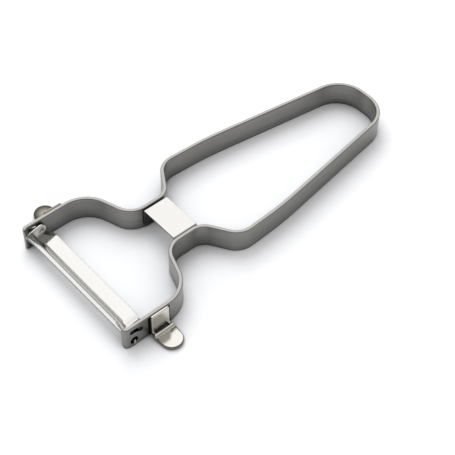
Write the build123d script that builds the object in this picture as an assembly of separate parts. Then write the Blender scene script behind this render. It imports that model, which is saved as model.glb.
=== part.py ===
from build123d import *
from math import cos, hypot, radians, sqrt, tan
import os

# All-metal peeler of the Y kind: one bent strip makes the head, the neck and the loop handle,
# and a slotted blade swings between the two arms of the head. Millimetres, lying flat on Z = 0,
# +X towards the tail of the handle, origin under the middle of the whole length.

# Strip stock and the whole peeler
overall_length = 143.7
strip_width = 10.0
strip_gauge = 1.5
rim_chamfer = 0.3

# Widths over the outside of the strip, where its straight stretches would meet
head_width = 60.1
neck_width = 21.0
grip_width = 47.0
waist_width = 45.1
tail_width = 26.0

# Distances from the front of the head to those same corners
shoulder_reach = 27.45
neck_front_reach = 34.1
neck_rear_reach = 49.8
grip_reach = 58.0
waist_reach = 78.5

# Bend radii on the strip's centre line, and the run of the gentle waist bend on each side of its corner
flange_bend = 1.15
shoulder_bend = 12.0
neck_front_bend = 8.0
neck_rear_bend = 6.5
grip_bend = 8.0
waist_run = 7.6
tail_bend = 12.0

# In-turned flange at the front of each arm
flange_reach = 2.45
flange_corner = 1.4

# Blade pivot: a round hole low in each arm, with a flat tongue of the blade standing in it
pivot_reach = 3.6
pivot_height = 2.9
pivot_hole = 3.2
pivot_clearance = 0.08

# Arched stop slot above the pivot hole, and the nub that travels in it
stop_radius = 4.75
stop_slot = 1.9
stop_clearance = 0.1
stop_home_angle = 52.0
swing = 46.0

# Blade sheet, and its channel section in the home position, measured from the pivot axis
blade_gauge = 0.8
lip_forward = 3.0
lip_rise = 3.7
valley_back = 0.85
valley_rise = 1.1
rear_back = 6.35
rear_rise = 2.5
valley_bend = 2.4
wing_corner = 2.4

# Slot along the valley, and the ground bevel on both of its edges
blade_slot = 1.2
blade_slot_length = 45.2
bevel_width = 0.7
bevel_land = 0.2

# Ears of the blade, with the lobes that round them, their flat pivot tongues and pressed stop nubs
ear_gap = 1.3
pivot_lobe = 3.9
stop_lobe = 4.4
heel_lobe = 2.4
heel_inset = 2.4
horn_lobe = 2.8
horn_rise = 4.9
nub_pocket = 1.0
nub_sink = 0.25
tongue_rise = 0.5
tongue_stand = 0.4

# Bridge channel in the neck
bridge_gauge = 0.8
bridge_length = 10.6
bridge_front_reach = 38.45
bridge_drop = 0.3
bridge_bend = 0.8
bridge_foot = 1.2
bridge_corner = 1.5

# Eyer on the outside of each arm: plate, gouging slot at the bend and dished spoon
eyer_gauge = 1.0
eyer_reach = 14.3
eyer_plate = 7.7
eyer_head_drop = 0.1
eyer_head_corner = 0.8
eyer_bend = 1.0
eyer_slot = 5.8
eyer_slot_top = 2.7
ridge_stand = 2.35
spoon_root = 9.0
spoon_nose = 8.2
spoon_reach = 10.9
spoon_belly = 6.6
spoon_dish = 18.0
spoon_floor = 0.1

# Overrun of the cutting shapes
overrun = 1.0

# Places worked out from the sizes above
half_gauge = strip_gauge / 2
front_x = -overall_length / 2
arm_outer = head_width / 2
arm_inner = arm_outer - strip_gauge
neck_inner = neck_width / 2 - strip_gauge
pivot_x = front_x + pivot_reach
ear_outer = arm_inner - ear_gap
ear_inner = ear_outer - blade_gauge
eyer_x = front_x + eyer_reach

# Corners of the blade's section in the home position, as X and Z
lip_point = Vector(pivot_x - lip_forward, pivot_height + lip_rise)
valley_point = Vector(pivot_x + valley_back, pivot_height + valley_rise)
rear_point = Vector(pivot_x + rear_back, pivot_height + rear_rise)
nub_point = Vector(pivot_x, pivot_height) + Vector(stop_radius, 0).rotate(Axis.Z, stop_home_angle)


def centre_half(width):
    """Distance of the strip's centre line from the middle where it is this wide outside."""
    return width / 2 - half_gauge


def sheet_face(path, gauge):
    """Closed outline of sheet of this gauge bent along its centre line."""
    left = make_face(offset(path, gauge / 2, side=Side.LEFT, closed=True).edges())
    right = make_face(offset(path, gauge / 2, side=Side.RIGHT, closed=True).edges())
    return left + right


def across(outline, start_y, end_y):
    """Solid that carries an outline drawn in X and Z from one Y to another."""
    plane = Plane((0, end_y, 0), x_dir=(1, 0, 0), z_dir=(0, -1, 0))
    return extrude(plane * outline, end_y - start_y)


def both_sides(solid):
    """A piece of the +Y side together with its mirror image."""
    return solid + mirror(solid, about=Plane.XZ)


def run_bend(before, corner, after, run):
    """Radius of the bend at a corner, where the arc takes this run of each side."""
    turn = (Vector(*corner) - Vector(*before)).get_angle(Vector(*after) - Vector(*corner))
    return run / tan(radians(turn) / 2)


def strip_path():
    """Centre line of the strip, from one flange round the handle to the other."""
    corners = [
        (front_x + half_gauge, centre_half(head_width)),
        (front_x + shoulder_reach, centre_half(head_width)),
        (front_x + neck_front_reach, centre_half(neck_width)),
        (front_x + neck_rear_reach, centre_half(neck_width)),
        (front_x + grip_reach, centre_half(grip_width)),
        (front_x + waist_reach, centre_half(waist_width)),
        (front_x + overall_length - half_gauge, centre_half(tail_width)),
    ]
    bends = [
        flange_bend,
        shoulder_bend,
        neck_front_bend,
        neck_rear_bend,
        grip_bend,
        run_bend(*corners[-3:], waist_run),
        tail_bend,
    ]
    tip = (front_x + half_gauge, arm_outer - flange_reach)
    upper = [tip] + corners
    lower = [(x, -y) for x, y in reversed(upper)]
    return FilletPolyline(*(upper + lower), radius=bends + bends[::-1])


def flange_trim():
    """What is cut away to round the corners of the two flanges."""
    tip_y = arm_outer - flange_reach
    square = Pos(tip_y, 0) * Rectangle(flange_corner + flange_corner, flange_corner + flange_corner)
    round_off = Pos(tip_y + flange_corner, flange_corner) * Circle(flange_corner)
    plane = Plane((front_x - overrun, 0, 0), x_dir=(0, 1, 0), z_dir=(1, 0, 0))
    corner = extrude(plane * (square - round_off), overrun + strip_gauge + flange_bend)
    return both_sides(corner + mirror(corner, about=Plane.XY.offset(strip_width / 2)))


def frame_strip():
    """The bent strip with its broken rims, pivot holes and stop slots."""
    body = extrude(sheet_face(strip_path(), strip_gauge), strip_width)
    rims = body.edges().group_by(Axis.Z)
    body = chamfer(rims[0] + rims[-1], rim_chamfer)
    body -= flange_trim()
    hole = Pos(pivot_x, pivot_height) * Circle(pivot_hole / 2)
    arc = CenterArc((pivot_x, pivot_height), stop_radius, stop_home_angle, swing)
    return body - across(hole + SlotArc(arc, stop_slot), -arm_outer - overrun, arm_outer + overrun)


def valley_turn():
    """Half of the angle that the blade's section turns through at its valley, in degrees."""
    front = valley_point - lip_point
    rear = rear_point - valley_point
    return front.get_angle(rear) / 2


def bevel_cutter():
    """Prism that grinds both edges of the blade's slot to a thin land."""
    centre_z = valley_point.Y + valley_bend / cos(radians(valley_turn()))
    inner = valley_bend - blade_gauge / 2
    reach = blade_slot / 2 + bevel_width
    land_z = centre_z - inner - blade_gauge + bevel_land
    rim_z = centre_z - sqrt(inner * inner - reach * reach)
    half = blade_slot / 2
    outline = make_face(
        Polyline(
            (valley_point.X - half, land_z),
            (valley_point.X + half, land_z),
            (valley_point.X + reach, rim_z),
            (valley_point.X + reach, rim_z + overrun),
            (valley_point.X - reach, rim_z + overrun),
            (valley_point.X - reach, rim_z),
            close=True,
        )
    )
    return across(outline, -blade_slot_length / 2, blade_slot_length / 2)


def tongue():
    """Flat pivot tongue at the +Y end, its lower end rounded to turn on the bottom of the hole."""
    turning = Pos(pivot_x, pivot_height) * Circle(pivot_hole / 2 - pivot_clearance)
    height = pivot_hole / 2 + tongue_rise
    flat = Pos(pivot_x, pivot_height + tongue_rise - height / 2) * Rectangle(blade_gauge, height)
    return across(turning & flat, ear_outer, arm_outer + tongue_stand)


def blade_ear():
    """Upturned ear at the +Y end, with its pivot tongue and pressed stop nub."""
    wing = (rear_point - valley_point).normalized()
    lobe = heel_lobe / 2
    heel = rear_point - wing * (lobe + heel_inset) + wing.rotate(Axis.Z, 90) * (lobe - blade_gauge / 2)
    horn_x = lip_point.X + (horn_lobe - blade_gauge) / 2
    circles = [
        Pos(pivot_x, pivot_height) * Circle(pivot_lobe / 2),
        Pos(nub_point.X, nub_point.Y) * Circle(stop_lobe / 2),
        Pos(heel.X, heel.Y) * Circle(lobe),
        Pos(horn_x, pivot_height + horn_rise) * Circle(horn_lobe / 2),
    ]
    outline = make_hull([edge for circle in circles for edge in circle.edges()])
    ear = across(outline, ear_inner, ear_outer) + tongue()
    nub = Pos(nub_point.X, nub_point.Y) * Circle(stop_slot / 2 - stop_clearance)
    ear += across(nub, ear_outer, arm_outer - nub_sink)
    pocket = Pos(nub_point.X, nub_point.Y) * Circle(nub_pocket / 2)
    return ear - across(pocket, ear_inner - overrun, arm_outer - nub_sink - blade_gauge)


def blade():
    """Slotted channel blade with an ear at each end, in its home position."""
    section = FilletPolyline(lip_point, valley_point, rear_point, radius=valley_bend)
    body = across(sheet_face(section, blade_gauge), -ear_inner, ear_inner)
    wing_ends = body.edges().filter_by(Axis.Y, reverse=True).group_by(Axis.X)[-1]
    body = fillet(wing_ends, wing_corner)
    slot = Pos(valley_point.X, 0) * Rot(0, 0, 90) * SlotOverall(blade_slot_length, blade_slot)
    body -= extrude(slot, strip_width)
    body -= bevel_cutter()
    return body + both_sides(blade_ear())


def neck_bridge():
    """Channel of thin sheet between the two sides of the neck, flanges turned down."""
    side = neck_inner - bridge_gauge / 2
    top = strip_width - bridge_drop - bridge_gauge / 2
    path = FilletPolyline(
        (-side, bridge_foot),
        (-side, top),
        (side, top),
        (side, bridge_foot),
        radius=bridge_bend,
    )
    plane = Plane((front_x + bridge_front_reach, 0, 0), x_dir=(0, 1, 0), z_dir=(1, 0, 0))
    body = extrude(plane * sheet_face(path, bridge_gauge), bridge_length)
    feet = body.edges().filter_by(Axis.Y).group_by(Axis.Z)[0]
    return fillet(feet, bridge_corner)


def spoon():
    """Dished tongue of the +Y eyer: a spherical shell trimmed to a round-nosed outline."""
    root_y = arm_outer + ridge_stand
    nose_y = arm_outer + spoon_reach - spoon_nose / 2
    root = Line((eyer_x - spoon_root / 2, root_y), (eyer_x + spoon_root / 2, root_y))
    nose = Pos(eyer_x, nose_y) * Circle(spoon_nose / 2)
    prism = extrude(make_hull([root.edge()] + list(nose.edges())), strip_width)
    centre = Pos(eyer_x, arm_outer + spoon_belly, spoon_floor + eyer_gauge + spoon_dish)
    shell = centre * Sphere(spoon_dish + eyer_gauge) - centre * Sphere(spoon_dish)
    return prism & shell


def eyer():
    """Stamped eyer on the outside of the +Y arm."""
    plate_y = arm_outer + eyer_gauge / 2
    strap_z = spoon_floor + eyer_gauge / 2 + root_rise()
    path = FilletPolyline(
        (plate_y, strip_width - eyer_head_drop),
        (plate_y, strap_z),
        (arm_outer + ridge_stand + eyer_gauge / 2, strap_z),
        radius=eyer_bend,
    )
    plane = Plane((eyer_x - eyer_plate / 2, 0, 0), x_dir=(0, 1, 0), z_dir=(1, 0, 0))
    body = extrude(plane * sheet_face(path, eyer_gauge), eyer_plate)
    head = body.edges().filter_by(Axis.Y).group_by(Axis.Z)[-1]
    body = fillet(head, eyer_head_corner)
    opening = Pos(eyer_x, arm_outer, 0) * Box(
        eyer_slot,
        ridge_stand + ridge_stand,
        eyer_slot_top + eyer_slot_top,
    )
    return body - opening + spoon()


def root_rise():
    """Height of the dish over its lowest point, where the straps meet the spoon's root."""
    strap_centre = (eyer_plate + eyer_slot) / 4
    off = hypot(strap_centre, spoon_belly - ridge_stand)
    middle = spoon_dish + eyer_gauge / 2
    return middle - sqrt(middle * middle - off * off)


def main():
    """Write one file for each piece."""
    left_eyer = eyer()
    pieces = {
        "frame_strip": frame_strip(),
        "neck_bridge": neck_bridge(),
        "blade": blade(),
        "left_eyer": left_eyer,
        "right_eyer": mirror(left_eyer, about=Plane.XZ),
    }
    os.makedirs("parts", exist_ok=True)
    for name, solid in pieces.items():
        export_step(solid, f"parts/{name}.step")


main()
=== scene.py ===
"""Looks of an all-metal vegetable peeler with a loop handle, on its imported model.

The model's own frame has +X towards the tail of the handle, +Y towards the left arm of the head and
+Z up from the surface that the peeler lies on. The classes of the pieces hold their sizes in
millimetres, and everything else is in metres.
"""

import logging
import math
from dataclasses import dataclass, replace
from enum import Enum

import bmesh
import bpy
import numpy as np
from mathutils import Matrix, Vector


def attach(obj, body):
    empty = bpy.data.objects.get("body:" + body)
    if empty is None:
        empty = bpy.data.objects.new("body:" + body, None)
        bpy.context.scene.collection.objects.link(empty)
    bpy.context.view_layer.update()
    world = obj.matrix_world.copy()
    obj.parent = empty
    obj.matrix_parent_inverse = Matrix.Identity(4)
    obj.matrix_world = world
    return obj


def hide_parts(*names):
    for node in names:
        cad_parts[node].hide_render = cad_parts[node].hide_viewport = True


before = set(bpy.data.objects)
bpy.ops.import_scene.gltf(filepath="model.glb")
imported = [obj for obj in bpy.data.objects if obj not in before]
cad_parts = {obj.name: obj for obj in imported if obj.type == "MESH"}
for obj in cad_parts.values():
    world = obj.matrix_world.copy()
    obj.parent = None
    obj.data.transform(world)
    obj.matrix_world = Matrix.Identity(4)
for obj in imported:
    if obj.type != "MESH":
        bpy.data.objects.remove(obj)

Colour = tuple[float, float, float]
Pair = tuple[float, float]
Points = np.ndarray
Mask = np.ndarray
Socket = bpy.types.NodeSocket
LOG = logging.getLogger("peeler")
MM = 0.001
MERGE = 0.0001 * MM
SHARP_TURN = 35.0
RISING = (0.0, 1.0)
FALLING = (1.0, 0.0)
WHITE = (1.0, 1.0, 1.0, 1.0)


class Body(Enum):
    """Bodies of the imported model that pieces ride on."""

    FRAME = "frame"
    BLADE = "blade"


class Side(Enum):
    """The two sides of the head, by the sign of Y."""

    LEFT = 1.0
    RIGHT = -1.0


class Work(Enum):
    """Ways of working one closed piece with another."""

    CUT = "DIFFERENCE"
    WELD = "UNION"


def rounding(distance: Points, radius: float) -> Points:
    """How far an edge draws in near a rounded corner: r - sqrt(r^2 - (r - d)^2) at a distance d below r."""
    left = radius - np.clip(distance, 0.0, radius)
    return radius - np.sqrt(np.maximum(radius**2 - left**2, 0.0))


def rim_steps(radius: float, count: int = 6) -> Points:
    """Distances from an edge that follow its rounding evenly: r (1 - cos a), a over a quarter turn."""
    return radius * (1 - np.cos(np.linspace(0.0, math.pi / 2, count)))


def ease(value: Points) -> Points:
    """Smooth step: t^2 (3 - 2 t) with t held from 0 to 1."""
    held = np.clip(value, 0.0, 1.0)
    return held**2 * (3 - 2 * held)


def turned(vectors: Points, angles: Points) -> Points:
    """Plane vectors turned by angles: (x cos a - y sin a, x sin a + y cos a).

    Args:
        vectors: Vectors of shape (..., 2).
        angles: Angles in radians, of the same leading shape.

    Returns:
        The turned vectors.
    """
    cos, sin = np.cos(angles), np.sin(angles)
    x, y = vectors[..., 0], vectors[..., 1]
    return np.stack((x * cos - y * sin, x * sin + y * cos), axis=-1)


def run_bend(corners: Points, number: int, run: float) -> float:
    """Radius of the bend at a corner whose arc takes a known run of both sides: run / tan(turn / 2).

    Args:
        corners: Corners of the path.
        number: Which corner bends.
        run: Length of each side that the arc takes.

    Returns:
        The bend's radius.
    """
    into = corners[number] - corners[number - 1]
    out = corners[number + 1] - corners[number]
    turn = abs(math.atan2(into[0] * out[1] - into[1] * out[0], float(into @ out)))
    return run / math.tan(turn / 2)


def rounded_path(corners: Points, bends: Points, steps: int) -> tuple[Points, Points]:
    """Carry a path through its corners, each rounded by an arc that touches both of its sides.

    The arc's centre stands a bend radius to the inner side of the run that leads in, and its point
    after a turn a is the centre less the left normal, turned by a, times the radius.

    Args:
        corners: Corners of shape (n, 2), ends included.
        bends: Radius at each of the n - 2 inner corners.
        steps: Points on each arc.

    Returns:
        Points on the path and the left normals there.
    """
    ahead = np.diff(corners, axis=0)
    ahead /= np.linalg.norm(ahead, axis=1, keepdims=True)
    into, out = ahead[:-1], ahead[1:]
    turn = np.arctan2(into[:, 0] * out[:, 1] - into[:, 1] * out[:, 0], (into * out).sum(axis=1))
    left = turned(ahead, np.full(len(ahead), math.pi / 2))
    start = corners[1:-1] - into * (bends * np.tan(np.abs(turn) / 2))[:, None]
    reach = (np.sign(turn) * bends)[:, None]
    centre = start + left[:-1] * reach
    angles = turn[:, None] * np.linspace(0.0, 1.0, steps)
    normals = turned(np.repeat(left[:-1, None, :], steps, axis=1), angles)
    arcs = centre[:, None, :] - normals * reach[:, None, :]
    points = np.concatenate((corners[:1], arcs.reshape(-1, 2), corners[-1:]))
    sides = np.concatenate((left[:1], normals.reshape(-1, 2), left[-1:]))
    return points, sides


def lengths_along(points: Points) -> Points:
    """Length of a path up to each of its points."""
    steps = np.linalg.norm(np.diff(points, axis=0), axis=1)
    return np.concatenate(([0.0], np.cumsum(steps)))


def hull(centres: Points, radii: Points, steps: int = 96) -> Points:
    """Outline of a tight band round circles: in each direction u, c + r u of the circle with most c.u + r.

    Args:
        centres: Centres of shape (n, 2).
        radii: Their n radii.
        steps: Directions taken round the band.

    Returns:
        Points of shape (steps, 2).
    """
    angles = np.linspace(0.0, 2 * math.pi, steps, endpoint=False)
    ways = np.stack((np.cos(angles), np.sin(angles)), axis=-1)
    outer = np.argmax(ways @ centres.T + radii, axis=1)
    return centres[outer] + radii[outer, None] * ways


def circle(centre: Points, radius: float, steps: int) -> Points:
    """Outline of a circle."""
    return hull(centre[None, :], np.array([radius]), steps)


def arched_slot(
    centre: Points, radius: float, width: float, start: float, sweep: float, steps: int = 12
) -> Points:
    """Outline of a slot bent along an arc, with round ends.

    Args:
        centre: Centre of the arc.
        radius: Radius of the slot's middle line.
        width: Width of the slot.
        start: Angle in degrees of the middle of its first end.
        sweep: Angle in degrees from there to the middle of its last end.
        steps: Steps round each end. Each side has twice as many points.

    Returns:
        Points round the slot.
    """
    along = np.radians(np.linspace(start, start + sweep, 2 * steps))
    half_turn = np.linspace(0.0, math.pi, steps + 1)[1:-1]

    def polar(angles: Points, reach: float) -> Points:
        """Points at one radius: reach (cos a, sin a)."""
        return reach * np.stack((np.cos(angles), np.sin(angles)), axis=-1)

    last = polar(along[-1:], radius) + polar(along[-1] + half_turn, width / 2)
    first = polar(along[:1], radius) + polar(along[0] + math.pi + half_turn, width / 2)
    outer, inner = polar(along, radius + width / 2), polar(along[::-1], radius - width / 2)
    return centre + np.concatenate((outer, last, inner, first))


def finish_shading(mesh: bpy.types.Mesh) -> None:
    """Merge a mesh's doubles, turn its faces outwards and shade it smooth, sharp past SHARP_TURN degrees.

    Args:
        mesh: Mesh to finish.
    """
    work = bmesh.new()
    work.from_mesh(mesh)
    bmesh.ops.remove_doubles(work, verts=work.verts, dist=MERGE)
    bmesh.ops.recalc_face_normals(work, faces=work.faces)
    work.to_mesh(mesh)
    work.free()
    mesh.polygons.foreach_set("use_smooth", np.ones(len(mesh.polygons), dtype=bool))
    mesh.set_sharp_from_angle(angle=math.radians(SHARP_TURN))


def new_object(name: str, data: bpy.types.ID) -> bpy.types.Object:
    """Make an object at the origin and link it to the scene.

    Args:
        name: Its name.
        data: Its mesh, lamp or camera.

    Returns:
        The object.
    """
    made = bpy.data.objects.new(name, data)
    bpy.context.scene.collection.objects.link(made)
    return made


def new_piece(name: str, points: Points, faces: list[Points]) -> bpy.types.Object:
    """Make a closed piece from points in millimetres.

    Args:
        name: The piece's name.
        points: Points of shape (n, 3).
        faces: Arrays of faces, each row the numbers of one face's corners.

    Returns:
        The piece, at the origin.
    """
    used, compact = np.unique(np.concatenate([group.ravel() for group in faces]), return_inverse=True)
    ends = np.cumsum([group.size for group in faces])[:-1]
    rows = []
    for group, numbers in zip(faces, np.split(compact, ends)):
        rows += numbers.reshape(group.shape).tolist()
    mesh = bpy.data.meshes.new(name)
    mesh.from_pydata((points[used] * MM).tolist(), [], rows)
    finish_shading(mesh)
    return new_object(name, mesh)


def grid(x: Points, y: Points, z: Points) -> Points:
    """Points of a grid from their coordinates, each repeated where it has one row or column."""
    return np.stack(np.broadcast_arrays(x, y, z), axis=-1)


def sweep(name: str, rings: Points) -> bpy.types.Object:
    """Skin a row of closed rings into one piece with flat ends.

    Args:
        name: The piece's name.
        rings: Points of shape (rings, points on a ring, 3).

    Returns:
        The piece.
    """
    count, around = rings.shape[:2]
    number = np.arange(count * around).reshape(count, around)
    beside = np.roll(number, -1, axis=1)
    sides = np.stack((number[:-1], number[1:], beside[1:], beside[:-1]), axis=-1)
    ends = np.stack((number[0, ::-1], number[-1]))
    return new_piece(name, rings.reshape(-1, 3), [sides.reshape(-1, 4), ends])


def carry(name: str, outlines: Points, places: Points) -> bpy.types.Object:
    """Carry an outline across the head, where it may change on the way.

    Args:
        name: The piece's name.
        outlines: X and Z, of shape (places, n, 2), or (n, 2) for an outline that keeps its shape.
        places: Y of each outline.

    Returns:
        The piece.
    """
    flat = np.broadcast_to(outlines, (len(places), *outlines.shape[-2:]))
    level = np.broadcast_to(places[:, None], flat.shape[:2])
    return sweep(name, np.insert(flat, 1, level, axis=-1))


def grid_normals(points: Points) -> Points:
    """Unit normals of a grid of points: the cross product of its two slopes."""
    normals = np.cross(np.gradient(points, axis=0), np.gradient(points, axis=1))
    return normals / np.linalg.norm(normals, axis=-1, keepdims=True)


def sheet(
    name: str, middle: Points, normals: Points, front: Points, back: Points, kept: Mask
) -> bpy.types.Object:
    """Close a sheet round its middle surface, with walls round its outline and its openings.

    Its two faces stand off the middle surface along the normals. Each kept cell gives a face on
    either side, and each of its sides without a kept neighbour a wall.

    Args:
        name: The piece's name.
        middle: Points of shape (rows, columns, 3).
        normals: Unit normals there.
        front: How far the face on the normal's side stands off, of shape (rows, columns).
        back: How far the other face stands off.
        kept: Cells of shape (rows - 1, columns - 1) that are metal.

    Returns:
        The piece.
    """
    upper, lower = middle + normals * front[..., None], middle - normals * back[..., None]
    rows, columns = kept.shape[0] + 1, kept.shape[1] + 1
    number = np.arange(rows * columns).reshape(rows, columns)
    cell = np.stack((number[:-1, :-1], number[1:, :-1], number[1:, 1:], number[:-1, 1:]), axis=-1)
    under = cell + rows * columns
    framed = np.pad(kept, 1)
    beside = (framed[1:-1, :-2], framed[2:, 1:-1], framed[1:-1, 2:], framed[:-2, 1:-1])
    faces = [cell[kept], under[kept][:, ::-1]]
    for side, neighbour in enumerate(beside):
        rim = kept & ~neighbour
        last = (side + 1) % 4
        walls = (cell[rim, last], cell[rim, side], under[rim, side], under[rim, last])
        faces.append(np.stack(walls, axis=-1))
    points = np.concatenate((upper.reshape(-1, 3), lower.reshape(-1, 3)))
    return new_piece(name, points, faces)


def work(piece: bpy.types.Object, tool: bpy.types.Object, way: Work) -> None:
    """Cut one closed piece out of another or weld it on, and clear the tool away.

    Args:
        piece: Piece that is worked.
        tool: Closed tool.
        way: Whether it cuts or welds.
    """
    step = piece.modifiers.new("work", "BOOLEAN")
    step.operation = way.value
    step.solver = "EXACT"
    step.object = tool
    ready = piece.evaluated_get(bpy.context.evaluated_depsgraph_get())
    worked = bpy.data.meshes.new_from_object(ready)
    piece.modifiers.clear()
    piece.data = worked
    bpy.data.objects.remove(tool)
    finish_shading(worked)


def fit(piece: bpy.types.Object, body: Body, finish: "Steel") -> None:
    """Let a piece stand for the node of its name, ride on its body and wear a finish.

    Args:
        piece: The finished piece, its name a node's name with _form behind it.
        body: Body that carries it.
        finish: Finish for its whole surface.
    """
    flat = piece.modifiers.new("flat_faces", "WEIGHTED_NORMAL")
    flat.keep_sharp = True
    piece.data.materials.clear()
    piece.data.materials.append(finish.material())
    node = piece.name.removesuffix("_form")
    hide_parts(node)
    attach(piece, body.value)
    LOG.info("%s stands for %s in %s, %d faces", piece.name, node, finish.name, len(piece.data.polygons))


class Tree:
    """Node tree of one material or world, with short calls for the few node kinds used here."""

    def __init__(self, owner: bpy.types.Material | bpy.types.World) -> None:
        """Empty the owner's node tree.

        Args:
            owner: Material or world whose nodes are built.
        """
        owner.use_nodes = True
        self.nodes = owner.node_tree.nodes
        self.links = owner.node_tree.links
        self.nodes.clear()

    def add(self, kind: str, **settings: object) -> bpy.types.Node:
        """Add a node.

        Args:
            kind: Blender's node type.
            settings: Properties of the node, or inputs by their name with underscores for spaces.

        Returns:
            The new node.
        """
        node = self.nodes.new(kind)
        for name, value in settings.items():
            if hasattr(node, name):
                setattr(node, name, value)
            else:
                self.feed(node, name.replace("_", " "), value)
        return node

    def feed(self, node: bpy.types.Node, name: str | int, value: object) -> None:
        """Link a socket to an input, or set the input's value.

        Args:
            node: Node that takes the value.
            name: Name or number of its input.
            value: Output socket to link, or a constant.
        """
        socket = node.inputs[name]
        if isinstance(value, Socket):
            self.links.new(value, socket)
        else:
            socket.default_value = value

    def math(
        self, operation: str, first: object, second: object = 0.0, kind: str = "ShaderNodeMath"
    ) -> Socket:
        """Combine two numbers or vectors into a number.

        Args:
            operation: Name of the node's operation.
            first: Socket or constant.
            second: Socket or constant.
            kind: Blender's node type, another one for vectors.

        Returns:
            The result's socket.
        """
        node = self.add(kind, operation=operation)
        self.feed(node, 0, first)
        self.feed(node, 1, second)
        return node.outputs["Value"]

    def dot(self, first: object, second: object) -> Socket:
        """Dot product of two vectors."""
        return self.math("DOT_PRODUCT", first, second, "ShaderNodeVectorMath")

    def span(self, value: object, limits: Pair, results: Pair = RISING) -> Socket:
        """Map a number smoothly from one span to another, held at both ends.

        Args:
            value: Socket to map.
            limits: The two values that give the results.
            results: The results at the limits.

        Returns:
            The mapped socket.
        """
        node = self.add("ShaderNodeMapRange", interpolation_type="SMOOTHSTEP")
        names = ("Value", "From Min", "From Max", "To Min", "To Max")
        for name, number in zip(names, (value, *limits, *results)):
            self.feed(node, name, number)
        return node.outputs["Result"]

    def mix(self, share: object, first: object, second: object) -> Socket:
        """Mix two numbers, or two colours of which at least one is a constant.

        Args:
            share: Socket or number, 0 for the first value and 1 for the second.
            first: Socket or constant.
            second: Socket or constant.

        Returns:
            The mixed value's socket.
        """
        coloured = isinstance(first, tuple) or isinstance(second, tuple)
        node = self.add("ShaderNodeMix", data_type="RGBA" if coloured else "FLOAT")
        start, result = (6, 2) if coloured else (2, 0)
        for number, value in ((0, share), (start, first), (start + 1, second)):
            self.feed(node, number, (*value, 1.0) if isinstance(value, tuple) else value)
        return node.outputs[result]

    def noise(self, stretch: Colour, detail: float = 2.0) -> Socket:
        """Noise on Object coordinates.

        Args:
            stretch: Repeats to the metre along X, Y and Z.
            detail: Octaves of finer noise.

        Returns:
            Noise from 0 to 1, about a half.
        """
        place = self.add("ShaderNodeTexCoord").outputs["Object"]
        scaled = self.add("ShaderNodeMapping", Vector=place, Scale=stretch).outputs["Vector"]
        return self.add("ShaderNodeTexNoise", Vector=scaled, Detail=detail, Scale=1.0).outputs["Fac"]

    def parts(self, vector: Socket) -> bpy.types.bpy_prop_collection:
        """Sockets of a vector's X, Y and Z."""
        return self.add("ShaderNodeSeparateXYZ", Vector=vector).outputs

    def position(self) -> bpy.types.bpy_prop_collection:
        """Sockets of a point's X, Y and Z on its own object."""
        return self.parts(self.add("ShaderNodeTexCoord").outputs["Object"])

    def facing(self, axis: str, limits: Pair) -> Socket:
        """Mask of faces that look along an axis, over two sizes of the normal's part there."""
        normal = self.parts(self.add("ShaderNodeNewGeometry").outputs["Normal"])
        return self.span(self.math("ABSOLUTE", normal[axis]), limits)

    def edges(self, reach: float, limits: Pair = (0.995, 0.86)) -> Socket:
        """Mask of the sharp edges, over two values of the normal's dot with itself rounded over a reach."""
        rounded = self.add("ShaderNodeBevel", samples=6, Radius=reach).outputs["Normal"]
        return self.span(self.dot(rounded, self.add("ShaderNodeNewGeometry").outputs["Normal"]), limits)

    def openness(self, reach: float, limits: Pair) -> Socket:
        """Mask of open places, over two shares of rays that meet nothing within a reach."""
        rays = self.add("ShaderNodeAmbientOcclusion", samples=8, Distance=reach)
        return self.span(rays.outputs["AO"], limits)

    def seen(self) -> Socket:
        """Whether a ray comes from the camera, or through a reflection or clear material.

        Returns:
            1 for such a ray and 0 for any other.
        """
        path = self.add("ShaderNodeLightPath").outputs
        first = self.math("MAXIMUM", path["Is Camera Ray"], path["Is Glossy Ray"])
        return self.math("MAXIMUM", first, path["Is Transmission Ray"])


def grey(level: float, warmth: float = 0.0) -> Colour:
    """A grey, a little warm: red a third of the warmth's share above the level and blue all of it below."""
    return (level * (1 + warmth / 3), level, level * (1 - warmth))


@dataclass(frozen=True)
class Brushing:
    """How a surface is brushed: fine lines and broad streaks, by repeats to the metre along X, Y and Z."""

    lines: Colour
    streaks: Colour
    depth: float
    shade: float
    lines_share: float = 0.6
    lines_detail: float = 3.0
    relief: float = 0.02 * MM
    shade_limits: Pair = (0.35, 0.65)
    gloss_limits: Pair = (0.3, 0.7)


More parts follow.
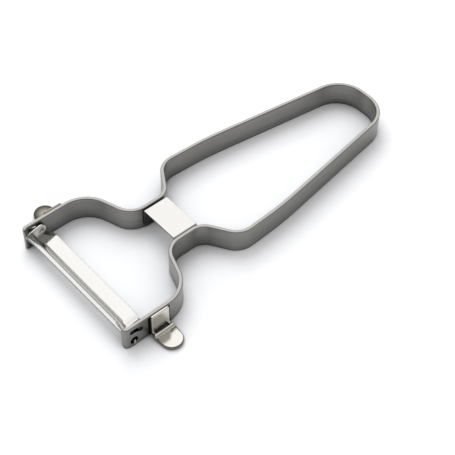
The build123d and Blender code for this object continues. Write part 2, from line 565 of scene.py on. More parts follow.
@dataclass(frozen=True)
class Steel:
    """Stainless sheet or strip with a brushed or polished face, edges painted darker as painted dark
    reflections and painted shade in its crevices.
    """

    name: str
    slot: str
    face: float
    rim: float
    edge: float
    warmth: float
    gloss: float
    rim_gloss: float
    edge_reach: float
    crevice_shade_reach: float
    brushing: Brushing
    crevice_shade: float = 0.02
    crevice_shade_limits: Pair = (0.25, 0.75)
    rim_upright: Pair = (0.35, 0.6)
    gloss_spread: float = 0.15
    clouds: Colour = (60.0, 60.0, 60.0)
    clouds_gloss: float = 0.03

    def shaded(self, tree: Tree, colour: Socket) -> Socket:
        """The colour as it is, for a finish with no painted shade of its own."""
        return colour

    def colour(self, tree: Tree, streak: Socket, rim: Socket) -> Socket:
        """Colour of the face with its streaks, of the rims, of the edges painted darker as dark reflections
        and of the painted crevice shade.

        Args:
            tree: Tree that the nodes go into.
            streak: Brushing from 0 to 1.
            rim: Mask of the sheared rims that face up or down.

        Returns:
            The colour's socket.
        """
        shade = self.brushing.shade
        dark, pale = (grey(self.face * (1 + change), self.warmth) for change in (-shade, shade))
        face = tree.mix(tree.span(streak, self.brushing.shade_limits), dark, pale)
        body = tree.mix(rim, face, grey(self.rim, self.warmth))
        # Painted dark reflection: the edges found by the bevel mask are painted darker.
        edge_darkened = tree.mix(tree.edges(self.edge_reach), body, grey(self.edge, self.warmth))
        # Painted shade: the colour goes darker where rays meet metal within a short reach, in crevices and
        # recesses.
        opened = tree.openness(self.crevice_shade_reach, self.crevice_shade_limits)
        return self.shaded(tree, tree.mix(opened, grey(self.crevice_shade, self.warmth), edge_darkened))

    def material(self) -> bpy.types.Material:
        """Build the finish.

        Returns:
            Material with brushing in its colour, gloss and relief.
        """
        made = bpy.data.materials.new(self.name)
        tree, brushing = Tree(made), self.brushing
        lines = tree.math("MULTIPLY", tree.noise(brushing.lines, brushing.lines_detail), brushing.lines_share)
        streaks = tree.math("MULTIPLY", tree.noise(brushing.streaks), 1 - brushing.lines_share)
        streak = tree.math("ADD", lines, streaks)
        spread = (self.gloss * (1 - self.gloss_spread), self.gloss * (1 + self.gloss_spread))
        clouded = (-self.clouds_gloss, self.clouds_gloss)
        cloud = tree.span(tree.noise(self.clouds), brushing.shade_limits, clouded)
        rough = tree.math("ADD", tree.span(streak, brushing.gloss_limits, spread), cloud)
        rim = tree.facing("Z", self.rim_upright)
        bump = tree.add("ShaderNodeBump", Strength=brushing.depth, Distance=brushing.relief, Height=streak)
        shader = tree.add(
            "ShaderNodeBsdfPrincipled", Metallic=1.0, Base_Color=self.colour(tree, streak, rim),
            Roughness=tree.mix(rim, rough, self.rim_gloss), Normal=bump.outputs["Normal"],
        )
        tree.add("ShaderNodeOutputMaterial", Surface=shader.outputs[0])
        return made


@dataclass(frozen=True)
class PaintedShadeStripSteel(Steel):
    """Strip steel with painted shade: near black on the arms' outer faces round the welded eyer plates and on
    the punched walls, and darker in its hollows.
    """

    plate_x: float = -57.55 * MM
    plate_shade_half: Pair = (4.5 * MM, 5.0 * MM)
    plate_shade_top: Pair = (9.5 * MM, 9.6 * MM)
    face_y: Pair = (29.95 * MM, 30.0 * MM)
    plate_shade: float = 0.015
    punched_x: Pair = (-70.1 * MM, -61.0 * MM)
    punched_z: Pair = (0.9 * MM, 9.2 * MM)
    punched_fade: float = 0.05 * MM
    flat_y: Pair = (0.4, 0.7)
    hollow: float = 0.1
    hollow_reach: float = 12.0 * MM
    hollow_limits: Pair = (0.36, 0.56)

    def shaded(self, tree: Tree, colour: Socket) -> Socket:
        """Paint shade: near black on the faces near the plate's middle line and on the punched walls, and
        darker in the strip's hollows.

        The walls of the holes are all that doesn't look along Y between the arm's ends, top and bottom.

        Args:
            tree: Tree that the nodes go into.
            colour: Colour to shade.

        Returns:
            The shaded colour's socket.
        """
        place, fade = tree.position(), self.punched_fade
        # Painted shade round the eyer plate: the arm's outer face is painted near black there, in the gap at
        # the plate's front edge and behind its gouging slot.
        off = tree.math("ABSOLUTE", tree.math("SUBTRACT", place["X"], self.plate_x))
        near = tree.span(off, self.plate_shade_half, FALLING)
        outer = tree.span(tree.math("ABSOLUTE", place["Y"]), self.face_y)
        low = tree.span(place["Z"], self.plate_shade_top, FALLING)
        plate_shaded = tree.math("MULTIPLY", tree.math("MULTIPLY", near, outer), low)
        # Painted shade: the walls of the holes and slots are painted near black.
        wall = tree.math("SUBTRACT", 1.0, tree.facing("Y", self.flat_y))
        for axis, ends in (("X", self.punched_x), ("Z", self.punched_z)):
            for end, results in zip(ends, (RISING, FALLING)):
                wall = tree.math("MULTIPLY", wall, tree.span(place[axis], (end - fade, end + fade), results))
        # Painted shade: the strip goes darker where its hollows close round a point.
        opened = tree.openness(self.hollow_reach, self.hollow_limits)
        dimmed = tree.mix(opened, grey(self.hollow, self.warmth), colour)
        return tree.mix(tree.math("MAXIMUM", plate_shaded, wall), dimmed, grey(self.plate_shade, self.warmth))


@dataclass(frozen=True)
class ShearedSteel(Steel):
    """Sheet whose sheared edges across X are painted darker, a painted dark reflection."""

    sheared: float = 0.25
    sheared_x: Pair = (0.62, 0.8)

    def sheared_mask(self, tree: Tree) -> Socket:
        """Where the sheared edges are: faces that look along X."""
        return tree.facing("X", self.sheared_x)

    def shaded(self, tree: Tree, colour: Socket) -> Socket:
        """The colour, with a painted dark reflection on the sheared edges."""
        return tree.mix(self.sheared_mask(tree), colour, grey(self.sheared, self.warmth))


@dataclass(frozen=True)
class BladeSteel(ShearedSteel):
    """Blade sheet with painted shade on its ears, nubs and ground band, and a painted dark reflection along
    the lip's edge.
    """

    ground: float = 0.3
    ground_x: Pair = (-69.5 * MM, -67.9 * MM)
    sloped_x: Pair = (0.3, 0.5)
    lip: float = 0.35
    lip_x: Pair = (-71.2 * MM, -71.0 * MM)
    ear: float = 0.5
    flat_y: Pair = (0.6, 0.85)
    nub: float = 0.05
    nub_y: Pair = (28.6 * MM, 28.7 * MM)
    nub_z: Pair = (4.6 * MM, 4.9 * MM)

    def shaded(self, tree: Tree, colour: Socket) -> Socket:
        """Paint shade on the ground band before the slot, the ears' faces and the nubs within the arms, and a
        dark reflection on the lip's edge.

        Args:
            tree: Tree that the nodes go into.
            colour: Colour to shade.

        Returns:
            The shaded colour's socket.
        """
        place = tree.position()
        band = tree.math("MULTIPLY", tree.span(place["X"], self.ground_x), tree.facing("X", self.sloped_x))
        lip = tree.span(place["X"], self.lip_x, FALLING)
        out = tree.span(tree.math("ABSOLUTE", place["Y"]), self.nub_y)
        nub = tree.math("MULTIPLY", tree.span(place["Z"], self.nub_z), out)
        ear = tree.facing("Y", self.flat_y)
        made = super().shaded(tree, colour)
        # Painted shade on the ground band, the ears and the nubs, and a painted dark reflection along the
        # lip's edge.
        for mask, level in ((band, self.ground), (lip, self.lip), (ear, self.ear), (nub, self.nub)):
            made = tree.mix(mask, made, grey(level, self.warmth))
        return made


@dataclass(frozen=True)
class SpoonSteel(ShearedSteel):
    """Eyer sheet whose spoon also gets a painted dark reflection all round: on its upright faces and its
    brim.
    """

    spoon_y: Pair = (33.0 * MM, 34.0 * MM)
    spoon_middle: Pair = (-57.55 * MM, 36.83 * MM)
    spoon_radius: float = 4.1 * MM
    brim: Pair = (0.3 * MM, 0.45 * MM)
    flat_z: Pair = (0.75, 0.92)

    def sheared_mask(self, tree: Tree) -> Socket:
        """Where the painted dark reflection goes: faces that look along X, and the spoon's upright faces and
        brim.

        The brim lies beyond the spoon's radius from the middle of its nose.

        Args:
            tree: Tree that the nodes go into.

        Returns:
            0 to 1.
        """
        place = tree.position()
        out = tree.math("ABSOLUTE", place["Y"])
        upright = tree.math("SUBTRACT", 1.0, tree.facing("Z", self.flat_z))
        along = tree.math("SUBTRACT", place["X"], self.spoon_middle[0])
        past = tree.math("MAXIMUM", tree.math("SUBTRACT", out, self.spoon_middle[1]), 0.0)
        squares = (tree.math("MULTIPLY", way, way) for way in (along, past))
        away = tree.math("SQRT", tree.math("ADD", *squares))
        brim = tree.span(away, (self.spoon_radius - self.brim[1], self.spoon_radius - self.brim[0]))
        edge = tree.math("MULTIPLY", tree.span(out, self.spoon_y), tree.math("MAXIMUM", upright, brim))
        return tree.math("MAXIMUM", super().sheared_mask(tree), edge)


ALONG = Brushing(lines=(70.0, 70.0, 9000.0), streaks=(12.0, 12.0, 2400.0), depth=0.2, shade=0.16)
ROLLED = Brushing(lines=(2600.0, 160.0, 160.0), streaks=(900.0, 60.0, 60.0), depth=0.05, shade=0.03)
STRIP_STEEL = PaintedShadeStripSteel(
    name="strip_steel", slot="strip_steel", face=0.255, rim=0.57, edge=0.16, warmth=0.05, gloss=0.36,
    rim_gloss=0.3, edge_reach=0.2 * MM, crevice_shade_reach=2.0 * MM, brushing=ALONG, rim_upright=(0.8, 0.985),
)
# The bridge's faces that don't look up or down are painted near black: painted shade for the inside of its
# channel.
BRIDGE_STEEL = Steel(
    name="bridge_steel", slot="polished_sheet", face=0.05, rim=0.92, edge=0.4, warmth=0.04, gloss=0.2,
    rim_gloss=0.2, edge_reach=0.15 * MM, crevice_shade_reach=3.0 * MM, brushing=ROLLED,
)
BLADE_STEEL = BladeSteel(
    name="blade_steel", slot="blade_steel", face=0.92, rim=0.95, edge=0.8, warmth=0.03, gloss=0.25,
    rim_gloss=0.22, edge_reach=0.1 * MM, crevice_shade_reach=0.5 * MM, brushing=ROLLED,
)
RIGHT_EYER_STEEL = SpoonSteel(
    name="eyer_steel", slot="polished_sheet", face=0.78, rim=0.93, edge=0.6, warmth=0.08, gloss=0.36,
    rim_gloss=0.12, edge_reach=0.1 * MM, crevice_shade_reach=0.7 * MM, brushing=ROLLED, sheared=0.2,
    sheared_x=(0.5, 0.75),
)
# The left eyer is painted darker and browner, its brim widened over most of its spoon: a painted reflection
# of dim brownish surroundings.
LEFT_EYER_STEEL = replace(
    RIGHT_EYER_STEEL, name="reflection_dimmed_eyer_steel", rim=0.4, edge=0.12, warmth=0.16, rim_gloss=0.25, sheared=0.08,
    brim=(0.2 * MM, 3.2 * MM),
)


@dataclass(frozen=True)
class Plan:
    """Sizes that several pieces share, in millimetres."""

    length: float = 143.7
    height: float = 10.0
    gauge: float = 1.5
    head: float = 60.1
    neck: float = 21.0
    pivot_reach: float = 3.6
    pivot_height: float = 2.9
    hole: float = 3.2
    stop_radius: float = 4.75
    stop_width: float = 1.9
    stop_home: float = 52.0
    swing: float = 46.0

    @property
    def front(self) -> float:
        """X of the head's front."""
        return -self.length / 2

    @property
    def arm_outer(self) -> float:
        """Y of the left arm's outer face."""
        return self.head / 2

    @property
    def arm_inner(self) -> float:
        """Y of the left arm's inner face."""
        return self.arm_outer - self.gauge

    @property
    def pivot(self) -> Points:
        """X and Z of the pivot."""
        return np.array([self.front + self.pivot_reach, self.pivot_height])

    @property
    def nub(self) -> Points:
        """X and Z of the stop nub in the home position."""
        home = math.radians(self.stop_home)
        return self.pivot + self.stop_radius * np.array([math.cos(home), math.sin(home)])


@dataclass(frozen=True)
class FrameStrip:
    """The one bent strip: two arms with in-turned flanges, the neck and the loop handle."""

    plan: Plan
    reaches: tuple[float, ...] = (27.45, 34.1, 49.8, 58.0, 78.5)
    widths: tuple[float, ...] = (60.1, 60.1, 21.0, 21.0, 47.0, 45.1, 26.0)
    bends: tuple[float, ...] = (1.15, 12.0, 8.0, 6.5, 8.0)
    waist_run: float = 7.6
    tail_bend: float = 12.0
    flange_reach: float = 2.45
    flange_corner: float = 1.4
    rim: float = 0.42
    bend_steps: int = 24
    tip_steps: int = 9
    corner_steps: int = 7
    through: float = 1.0

    def path(self) -> tuple[Points, Points]:
        """Centre line from one flange round the handle to the other, with its left normals.

        The corners stand at known distances from the front, half of each width less half the gauge
        from the middle. The flanges' ends get closer points, which their rounding follows.

        Returns:
            Points of shape (n, 2) and as many normals.
        """
        plan, half = self.plan, self.plan.gauge / 2
        x = plan.front + np.array((half, half, *self.reaches, plan.length - half))
        y = np.array((plan.head - 2 * self.flange_reach + plan.gauge, *self.widths)) / 2 - half
        upper = np.stack((x, y), axis=-1)
        corners = np.concatenate((upper, upper[::-1] * (1, -1)))
        bends = np.array((*self.bends, run_bend(upper, 6, self.waist_run), self.tail_bend))
        points, sides = rounded_path(corners, np.concatenate((bends, bends[::-1])), self.bend_steps)
        lead = rim_steps(1.0, self.tip_steps + 1)[:-1, None]
        first = points[0] + (points[1] - points[0]) * lead
        last = points[-1] + (points[-2] - points[-1]) * lead[::-1]
        repeats = np.ones(len(sides), dtype=int)
        repeats[[0, -1]] = self.tip_steps
        return np.concatenate((first, points[1:-1], last)), np.repeat(sides, repeats, axis=0)

    def rings(self) -> Points:
        """The strip's section at each point of its path.

        The section is a rectangle with round corners, a = side (w - r + r cos t) across and r - r sin t
        up from its ends, where the half gauge w and the ends draw in towards the tips of the flanges.

        Returns:
            Points of shape (places, points round the section, 3).
        """
        points, sides = self.path()
        along = lengths_along(points)
        tip = np.minimum(along, along[-1] - along)[:, None]
        half = self.plan.gauge / 2 - rounding(tip, self.rim)
        inset = rounding(tip, self.flange_corner)
        angle = np.linspace(0.0, math.pi / 2, self.corner_steps)
        quarters = (self.rim * (1 - np.cos(angle)), self.rim * (1 - np.sin(angle)))
        draw, rise = (np.concatenate((quarter[::-1], quarter) * 2) for quarter in quarters)
        side = np.repeat((1.0, -1.0), 2 * self.corner_steps)
        top = np.repeat((False, True, True, False), self.corner_steps)
        across = side * (half - draw * np.minimum(half / self.rim, 1.0))
        level = np.where(top, self.plan.height - inset - rise, inset + rise)
        flat = points[:, None, :] + sides[:, None, :] * across[..., None]
        return np.concatenate((flat, level[..., None]), axis=-1)

    def build(self) -> None:
        """Bend the strip, punch its pivot holes and stop slots and dress it."""
        plan = self.plan
        piece = sweep("frame_strip_form", self.rings())
        through = np.array([-1.0, 1.0]) * (plan.arm_outer + self.through)
        work(piece, carry("hole", circle(plan.pivot, plan.hole / 2, 40), through), Work.CUT)
        slot = arched_slot(plan.pivot, plan.stop_radius, plan.stop_width, plan.stop_home, plan.swing)
        work(piece, carry("slot", slot, through), Work.CUT)
        fit(piece, Body.FRAME, STRIP_STEEL)


@dataclass(frozen=True)
class NeckBridge:
    """Channel of thin polished sheet between the two sides of the neck, flanges turned down."""

    plan: Plan
    gauge: float = 0.8
    length: float = 10.6
    reach: float = 38.45
    drop: float = 0.3
    bend: float = 0.8
    foot: float = 1.2
    corner: float = 1.5
    rim: float = 0.22

    def build(self) -> None:
        """Bend the channel and dress it.

        Its middle surface follows the channel's section over its length in X, which draws in by the
        corner's rounding near the feet. Both faces draw in by the rim's rounding near the outline.
        """
        plan = self.plan
        side = plan.neck / 2 - plan.gauge - self.gauge / 2
        top = plan.height - self.drop - self.gauge / 2
        corners = np.array([(-side, self.foot), (-side, top), (side, top), (side, self.foot)])
        points, _ = rounded_path(corners, np.full(2, self.bend), 10)
        along = lengths_along(points)
        ends = np.concatenate((rim_steps(self.rim), rim_steps(self.corner, 9)[1:]))
        place = np.unique(np.concatenate((along, ends, along[-1] - ends)))
        spare = np.minimum(place, along[-1] - place)[:, None]
        inset = rounding(spare, self.corner)
        edge = rim_steps(self.rim)
        inner = np.linspace(self.rim, self.length / 2, 8)[1:]
        half = np.concatenate((edge, inner))
        shares = np.concatenate((half, self.length - half[-2::-1])) / self.length
        x = inset + shares * (self.length - 2 * inset)
        near = np.minimum(np.minimum(x - inset, self.length - inset - x), spare)
        stand = self.gauge / 2 - rounding(near, self.rim)
        y, z = (np.interp(place, along, points[:, axis])[:, None] for axis in (0, 1))
        middle = grid(plan.front + self.reach + x, y, z)
        kept = np.ones_like(x[1:, 1:], dtype=bool)
        piece = sheet("neck_bridge_form", middle, grid_normals(middle), stand, stand, kept)
        fit(piece, Body.FRAME, BRIDGE_STEEL)


@dataclass(frozen=True)
class Blade:
    """Slotted channel blade that dips to an ear at each end, with its tongues and stop nubs.

    The section's points are measured from the pivot. An ear's lobes are those of the pivot, the
    nub, the heel and the horn, by their widths.
    """

    plan: Plan
    gauge: float = 0.8
    lip: Pair = (-3.0, 3.7)
    roll: Pair = (-1.2, 2.95)
    valley: Pair = (0.85, 1.1)
    rear: Pair = (6.35, 2.5)
    bend: float = 1.6
    roll_bend: float = 3.0
    wing_corner: float = 2.4
    slot: float = 1.0
    slot_length: float = 45.2
    bevel: float = 0.7
    land: float = 0.2
    ear_gap: float = 0.7
    dip: float = 1.3
    dip_run: float = 5.6
    lobes: tuple[float, ...] = (3.9, 4.4, 2.4, 2.8)
    heel_inset: float = 2.4
    horn_rise: float = 3.5
    nub: float = 1.7
    nub_sink: float = 0.25
    nub_round: float = 0.45
    pocket: float = 1.2
    pocket_depth: float = 0.55
    pocket_turn: float = 85.0
    punch_back: float = 0.4
    tongue_turn: float = 1.52
    tongue_rise: float = 0.5
    tongue_stand: float = 0.4
    rim: float = 0.25

    @property
    def ear_inner(self) -> float:
        """Y of the left ear's inner face."""
        return self.plan.arm_inner - self.ear_gap - self.gauge

    def rows(self) -> Points:
        """Places along the blade, closer at the slot's round ends and in the dips.

        Returns:
            Rising Y.
        """
        middle = np.linspace(0.0, self.slot_length / 2 - self.slot, 14)
        turn = self.slot_length / 2 - self.slot / 2 + self.slot / 2 * np.sin(np.linspace(0.0, math.pi / 2, 8))
        dip = np.linspace(self.slot_length / 2 + 0.1, self.ear_inner + self.gauge / 2, 20)
        half = np.concatenate((middle, turn, dip))
        return np.concatenate((-half[:0:-1], half))

    def channel(self) -> bpy.types.Object:
        """The slotted channel.

        A point of the middle surface lies at a length s along the section and at y along the blade.
        The slot parts the section by w(y), a half circle at each end, the faces draw together over
        the bevel beside it, and all but the lip dips by a smooth step towards the ears. Where the
        section's normal is (a, b) and the dip's slope along the blade c, the surface's is (a, -b c, b).

        Returns:
            The channel, its ends within the ears.
        """
        corners = self.plan.pivot + np.array([self.lip, self.roll, self.valley, self.rear])
        points, sides = rounded_path(corners, np.array([self.roll_bend, self.bend]), 25)
        along = lengths_along(points)
        nearest = np.argmin(np.linalg.norm(points - corners[2], axis=1))
        valley, end = along[nearest], along[-1]
        y = self.rows()[:, None]
        past = np.abs(y)
        half = self.slot / 2
        turn = np.clip((past - self.slot_length / 2 + half) / half, 0.0, 1.0)
        width = half * np.sqrt(np.maximum(1 - turn**2, 0.0))
        rear = end - rounding(self.ear_inner - past, self.wing_corner)
        edge, span = rim_steps(self.rim), np.linspace(0.0, 1.0, 9)[1:-1]
        bevel = np.linspace(self.bevel, 0.0, 5)
        front_bevel, rear_bevel = valley - width - bevel, valley + width + bevel[::-1]
        front_face = self.rim + (front_bevel[:, :1] - self.rim) * span
        rear_face = rear_bevel[:, -1:] + (rear - self.rim - rear_bevel[:, -1:]) * span
        front_edge = np.broadcast_to(edge, (len(y), len(edge)))
        rear_edge = rear - edge[::-1]
        s = np.concatenate((front_edge, front_face, front_bevel, rear_bevel, rear_face, rear_edge), axis=1)
        ground = np.clip(1 - (np.abs(s - valley) - width) / self.bevel, 0.0, 1.0)
        ground = ground * ease((self.slot_length / 2 + half - past) / half)
        stand = self.gauge / 2 - rounding(np.minimum(s, rear - s), self.rim)
        step = np.clip((past - self.ear_inner + self.dip_run) / self.dip_run, 0.0, 1.0)
        depth = self.dip * ease(s / valley)
        x, z = np.interp(s, along, points[:, 0]), np.interp(s, along, points[:, 1]) - depth * ease(step)
        middle = grid(x, y, z)
        slope = -depth * np.sign(y) * 6 * step * (1 - step) / self.dip_run
        a, b = np.interp(s, along, sides[:, 0]), np.interp(s, along, sides[:, 1])
        normals = np.stack((a, -b * slope, b), axis=-1)
        normals /= np.linalg.norm(normals, axis=-1, keepdims=True)
        kept = np.ones_like(x[1:, 1:], dtype=bool)
        between = edge.size + span.size + bevel.size - 1
        open_rows = (past[:-1, 0] + past[1:, 0]) / 2 < self.slot_length / 2
        kept[:, between] = ~open_rows
        below = stand - (self.gauge - self.land) * ground
        return sheet("blade_form", middle, normals, stand, below, kept)

    def ear(self, side: Side) -> bpy.types.Object:
        """One ear: a plate with rounded edges round its four lobes.

        Args:
            side: Which end of the blade.

        Returns:
            The ear.
        """
        plan, radii = self.plan, np.array(self.lobes) / 2
        valley, rear, lip = (plan.pivot + np.array(point) for point in (self.valley, self.rear, self.lip))
        wing = (rear - valley) / np.linalg.norm(rear - valley)
        up = np.array([-wing[1], wing[0]])
        heel = rear - wing * (radii[2] + self.heel_inset) + up * (radii[2] - self.gauge / 2)
        horn = np.array([lip[0] + radii[3] - self.gauge / 2, plan.pivot_height + self.horn_rise])
        centres = np.stack((plan.pivot, plan.nub, heel, horn))
        edge = rim_steps(self.rim)
        inset = np.concatenate((edge[::-1], edge))
        depth = np.concatenate((rounding(edge[::-1], self.rim), self.gauge - rounding(edge, self.rim)))
        outlines = np.stack([hull(centres, radii - step) for step in inset])
        return carry("ear", outlines, (self.ear_inner + depth) * side.value)

    def nub_form(self, side: Side) -> bpy.types.Object:
        """Pressed stop nub with a rounded end: its radius draws in by the end's rounding.

        Args:
            side: Which end of the blade.

        Returns:
            The nub.
        """
        root, tip = self.ear_inner + self.gauge / 2, self.plan.arm_outer - self.nub_sink
        depth = np.concatenate(([root], tip - rim_steps(self.nub_round, 8)[::-1]))
        radii = self.nub / 2 - rounding(tip - depth, self.nub_round)
        outlines = np.stack([circle(self.plan.nub, radius, 32) for radius in radii])
        return carry("nub", outlines, depth * side.value)

    def tongue(self, side: Side) -> bpy.types.Object:
        """Flat pivot tongue, its lower end the arc z = -sqrt(r^2 - x^2) that turns on the hole's bottom.

        Args:
            side: Which end of the blade.

        Returns:
            The tongue.
        """
        x = np.linspace(-self.gauge / 2, self.gauge / 2, 9)
        arc = np.stack((x, -np.sqrt(self.tongue_turn**2 - x**2)), axis=-1)
        top = np.array([(self.gauge / 2, self.tongue_rise), (-self.gauge / 2, self.tongue_rise)])
        outline = self.plan.pivot + np.concatenate((arc, top))
        ends = np.array([self.ear_inner + self.gauge / 2, self.plan.arm_outer + self.tongue_stand])
        return carry("tongue", outline, ends * side.value)

    def dimple(self, side: Side) -> bpy.types.Object:
        """Punch of the dimple behind a stop nub: a domed end of radius r cos t at a depth d sin t.

        Args:
            side: Which end of the blade.

        Returns:
            The punch.
        """
        turn = np.linspace(0.0, math.radians(self.pocket_turn), 8)
        depth = self.ear_inner + np.concatenate(([-self.punch_back], self.pocket_depth * np.sin(turn)))
        radii = self.pocket * np.concatenate(([1.0], np.cos(turn)))
        outlines = np.stack([circle(self.plan.nub, radius, 28) for radius in radii])
        return carry("punch", outlines, depth * side.value)

    def build(self) -> None:
        """Stamp the channel, weld on both ears with their tongues and nubs and dress the blade."""
        piece = self.channel()
        for side in Side:
            for part in (self.ear, self.nub_form, self.tongue):
                work(piece, part(side), Work.WELD)
            work(piece, self.dimple(side), Work.CUT)
        fit(piece, Body.BLADE, BLADE_STEEL)


@dataclass(frozen=True)
class Eyer:
    """Stamped eyer on the outside of an arm: a plate, a gouging slot at its bend and a dished spoon."""

    plan: Plan
    side: Side
    gauge: float = 1.0
    reach: float = 14.3
    plate: float = 7.7
    head_drop: float = 0.1
    head_corner: float = 0.8
    bend: float = 1.0
    slot: float = 5.8
    slot_top: float = 1.7
    strap: float = 1.2
    ridge: float = 2.0
    root: float = 9.0
    root_run: float = 0.8
    nose: float = 8.2
    nose_turn: float = 89.6
    spoon: float = 10.88
    floor: float = 0.8
    belly: float = 4.2
    crest: float = 1.5
    crest_run: float = 0.8
    lift: float = 60.0
    bowl: float = 60.0
    rim: float = 0.42
    bend_steps: int = 12

    def columns(self) -> Points:
        """Places across the sheet as shares of its half width, closer at its rims and beside the slot.

        Returns:
            Shares from -1 to 1.
        """
        half, edge = self.plate / 2, rim_steps(self.rim)
        inner = np.linspace(0.0, self.slot / 2, 9)[:-1]
        positive = np.concatenate((inner, self.slot / 2 + edge, half - edge[::-1])) / half
        return np.concatenate((-positive[:0:-1], positive))

    def height(self, x: Points, out: Points) -> Points:
        """Height of the middle surface beyond the bend.

        The sheet stands at the crest's height at the slot's edge, falls by a smooth step to the bowl
        and rises from its belly as a parabola towards the nose and as another to both sides.

        Args:
            x: Distance from the eyer's middle line.
            out: Distance from the arm's outer face.

        Returns:
            Heights over the floor.
        """
        bowl = self.floor + np.maximum(out - self.belly, 0.0) ** 2 / (2 * self.lift) + x**2 / (2 * self.bowl)
        fallen = ease((out - self.ridge - self.rim) / self.crest_run)
        return self.crest + (bowl - self.crest) * fallen

    def build(self) -> None:
        """Stamp the sheet and dress it.

        Its rows run down the plate, round the bend and out to the nose, and its columns across. The
        half width keeps to the plate, widens to the spoon's root and closes round the nose's circle.
        """
        plan, outer = self.plan, self.plan.arm_outer
        wall, top = self.gauge / 2, plan.height - self.head_drop
        corners = np.array([(wall, top), (wall, self.strap), (self.spoon, self.strap)])
        points, _ = rounded_path(corners, np.array([self.bend]), self.bend_steps)
        along = lengths_along(points)
        bent = along[self.bend_steps]
        flat = bent - (wall + self.bend)
        nose_out = self.spoon - self.nose / 2
        edge = rim_steps(self.rim)
        slot_start = top - self.slot_top
        slot_end = flat + self.ridge
        nose_rows = flat + nose_out + self.nose / 2 * np.sin(np.radians(np.linspace(0.0, self.nose_turn, 24)))
        rows = np.concatenate((
            rim_steps(self.head_corner, 8), np.linspace(self.head_corner, slot_start - self.rim, 6)[1:-1],
            slot_start - edge, along[1:self.bend_steps + 1], slot_end + edge,
            np.linspace(slot_end + self.rim, flat + nose_out, 16)[1:-1], nose_rows,
        ))
        v = np.unique(np.round(rows, 6))[:, None]
        out = np.interp(v, along, points[:, 0])
        widen = ease((out - self.ridge) / self.root_run) * (self.root - self.plate) / 2
        taper = np.clip((out - self.ridge) / (nose_out - self.ridge), 0.0, 1.0) * (self.root - self.nose) / 2
        circle = np.sqrt(np.maximum((self.nose / 2) ** 2 - np.maximum(out - nose_out, 0.0) ** 2, 0.0))
        body = self.plate / 2 - rounding(v, self.head_corner) + widen - taper
        half = np.where(out > nose_out, circle, body)
        x = self.columns() * half
        z = np.where(v > bent, self.height(x, out), np.interp(v, along, points[:, 1]))
        middle = grid(x + plan.front + self.reach, outer + out, z)
        nose = self.nose / 2 - np.hypot(x, out - nose_out)
        spare = np.where(out > nose_out, nose, np.minimum(half - np.abs(x), v))
        aside = np.maximum(np.abs(x) - self.slot / 2, 0.0)
        slot_off = np.hypot(aside, np.maximum(np.maximum(slot_start - v, v - slot_end), 0.0))
        stand = wall - rounding(np.minimum(spare, slot_off), self.rim)
        mid_x = (np.abs(x[:-1, :-1]) + np.abs(x[1:, 1:])) / 2
        mid_v = (v[:-1] + v[1:]) / 2
        kept = (mid_x > self.slot / 2) | (mid_v < slot_start) | (mid_v > slot_end)
        middle[..., 1] *= self.side.value
        name = f"{self.side.name.lower()}_eyer_form"
        piece = sheet(name, middle, grid_normals(middle), stand, stand, kept)
        fit(piece, Body.FRAME, LEFT_EYER_STEEL if self.side is Side.LEFT else RIGHT_EYER_STEEL)


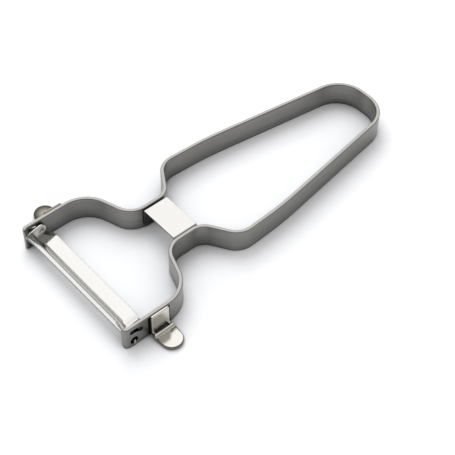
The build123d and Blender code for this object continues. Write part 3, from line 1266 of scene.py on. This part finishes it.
@dataclass(frozen=True)
class Studio:
    """Pale floor, white backdrop and two square soft lamps.

    The window is the way to the backdrop's white part in the metal, and its edge the two dots with
    that way between which it fades to the dim room.
    """

    floor_half: float = 1.5
    floor_colour: float = 0.8
    floor_warmth: float = -0.03
    floor_lift: float = 0.44
    shade_reach: float = 0.03
    shade_limits: Pair = (0.15, 1.0)
    contact_reach: float = 0.004
    contact_limits: Pair = (0.25, 0.55)
    contact_shadow_colour: float = 0.06
    world_level: float = 0.42
    room_level: float = 0.3
    window: Colour = (0.15, 0.6, 0.78)
    window_edge: Pair = (0.58, 0.68)
    lamp_size: float = 0.6
    key_place: Colour = (0.15, 0.5, 0.75)
    key_energy: float = 4.0
    fill_place: Colour = (0.5, 0.45, 0.28)
    fill_energy: float = 1.2

    def floor(self) -> None:
        """Lay the floor: a pale diffuse sheet, lifted to white for what the camera and the metal see, with
        painted shadow near the peeler.
        """
        half = self.floor_half
        mesh = bpy.data.meshes.new("floor")
        ends = [(-half, -half, 0.0), (half, -half, 0.0), (half, half, 0.0), (-half, half, 0.0)]
        mesh.from_pydata(ends, [], [(0, 1, 2, 3)])
        new_object("floor", mesh)
        material = bpy.data.materials.new("pale_floor")
        mesh.materials.append(material)
        tree = Tree(material)
        # Painted contact shadow: the floor's colour goes dark where it closes in under and beside the metal.
        contact = tree.openness(self.contact_reach, self.contact_limits)
        paint = tree.mix(contact, grey(self.contact_shadow_colour), grey(self.floor_colour, self.floor_warmth))
        shade = tree.math("MULTIPLY", tree.openness(self.shade_reach, self.shade_limits), contact)
        lift = tree.math("MULTIPLY", tree.math("MULTIPLY", tree.seen(), self.floor_lift), shade)
        total = tree.add("ShaderNodeAddShader")
        tree.feed(total, 0, tree.add("ShaderNodeBsdfDiffuse", Color=paint).outputs[0])
        tree.feed(total, 1, tree.add("ShaderNodeEmission", Color=WHITE, Strength=lift).outputs[0])
        tree.add("ShaderNodeOutputMaterial", Surface=total.outputs[0])

    def backdrop(self) -> None:
        """Set the world: even grey light, white to the camera, a white window over a dim room to metal."""
        world = bpy.data.worlds.new("backdrop")
        bpy.context.scene.world = world
        tree = Tree(world)
        path = tree.add("ShaderNodeLightPath").outputs
        toward = tree.dot(tree.add("ShaderNodeTexCoord").outputs["Generated"], self.window)
        room = tree.span(toward, self.window_edge, (self.room_level, 1.0))
        shown = tree.mix(path["Is Glossy Ray"], self.world_level, room)
        white = tree.math("MAXIMUM", path["Is Camera Ray"], path["Is Transmission Ray"])
        light = tree.add("ShaderNodeBackground", Color=WHITE, Strength=tree.math("MAXIMUM", shown, white))
        tree.add("ShaderNodeOutputWorld", Surface=light.outputs[0])

    def lamp(self, name: str, place: Colour, energy: float) -> None:
        """Hang one square soft lamp that faces the peeler and doesn't show in its metal.

        Args:
            name: The lamp's name.
            place: Its centre.
            energy: Its power in watts.
        """
        data = bpy.data.lights.new(name, "AREA")
        data.shape = "SQUARE"
        data.size = self.lamp_size
        data.energy = energy
        aim = (-Vector(place)).to_track_quat("-Z", "Y").to_matrix().to_4x4()
        made = new_object(name, data)
        made.matrix_world = Matrix.Translation(place) @ aim
        made.visible_glossy = False

    def build(self) -> None:
        """Set up the floor, the backdrop and the lamps."""
        self.floor()
        self.backdrop()
        self.lamp("key", self.key_place, self.key_energy)
        self.lamp("fill", self.fill_place, self.fill_energy)


@dataclass(frozen=True)
class Camera:
    """The photograph's camera, its places in metres and its lens and sensor in millimetres."""

    place: Colour = (-0.1996, -0.2224, 0.3287)
    target: Colour = (-0.01021, -0.01092, 0.0)
    roll: float = 1.04
    lens: float = 94.0
    sensor: float = 36.0
    clip: Pair = (0.01, 20.0)

    def build(self) -> None:
        """Stand the camera at its place, with its back along the line from the target and a small roll."""
        data = bpy.data.cameras.new("camera")
        data.lens = self.lens
        data.sensor_width = self.sensor
        data.clip_start, data.clip_end = self.clip
        back = (Vector(self.place) - Vector(self.target)).normalized()
        side = Vector((0.0, 0.0, 1.0)).cross(back).normalized()
        turn = math.radians(self.roll)
        right = side * math.cos(turn) + back.cross(side) * math.sin(turn)
        axes = Matrix((right, back.cross(right), back)).transposed().to_4x4()
        made = new_object("camera", data)
        made.matrix_world = Matrix.Translation(self.place) @ axes
        bpy.context.scene.camera = made


def corners(box: tuple[Vector, Vector]) -> list[list[float]]:
    """The lowest and highest corner of a box as plain lists."""
    return [list(map(float, corner)) for corner in box]


def main() -> None:
    """Build the peeler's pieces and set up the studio."""
    logging.basicConfig(level=logging.INFO, format="%(name)s: %(message)s")
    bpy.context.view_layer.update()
    plan = Plan()
    eyers = (Eyer(plan, side) for side in Side)
    for piece in (FrameStrip(plan), NeckBridge(plan), Blade(plan), *eyers):
        piece.build()
    Studio().build()
    Camera().build()
    bpy.context.scene.view_settings.view_transform = "Standard"


if __name__ == "__main__":
    main()
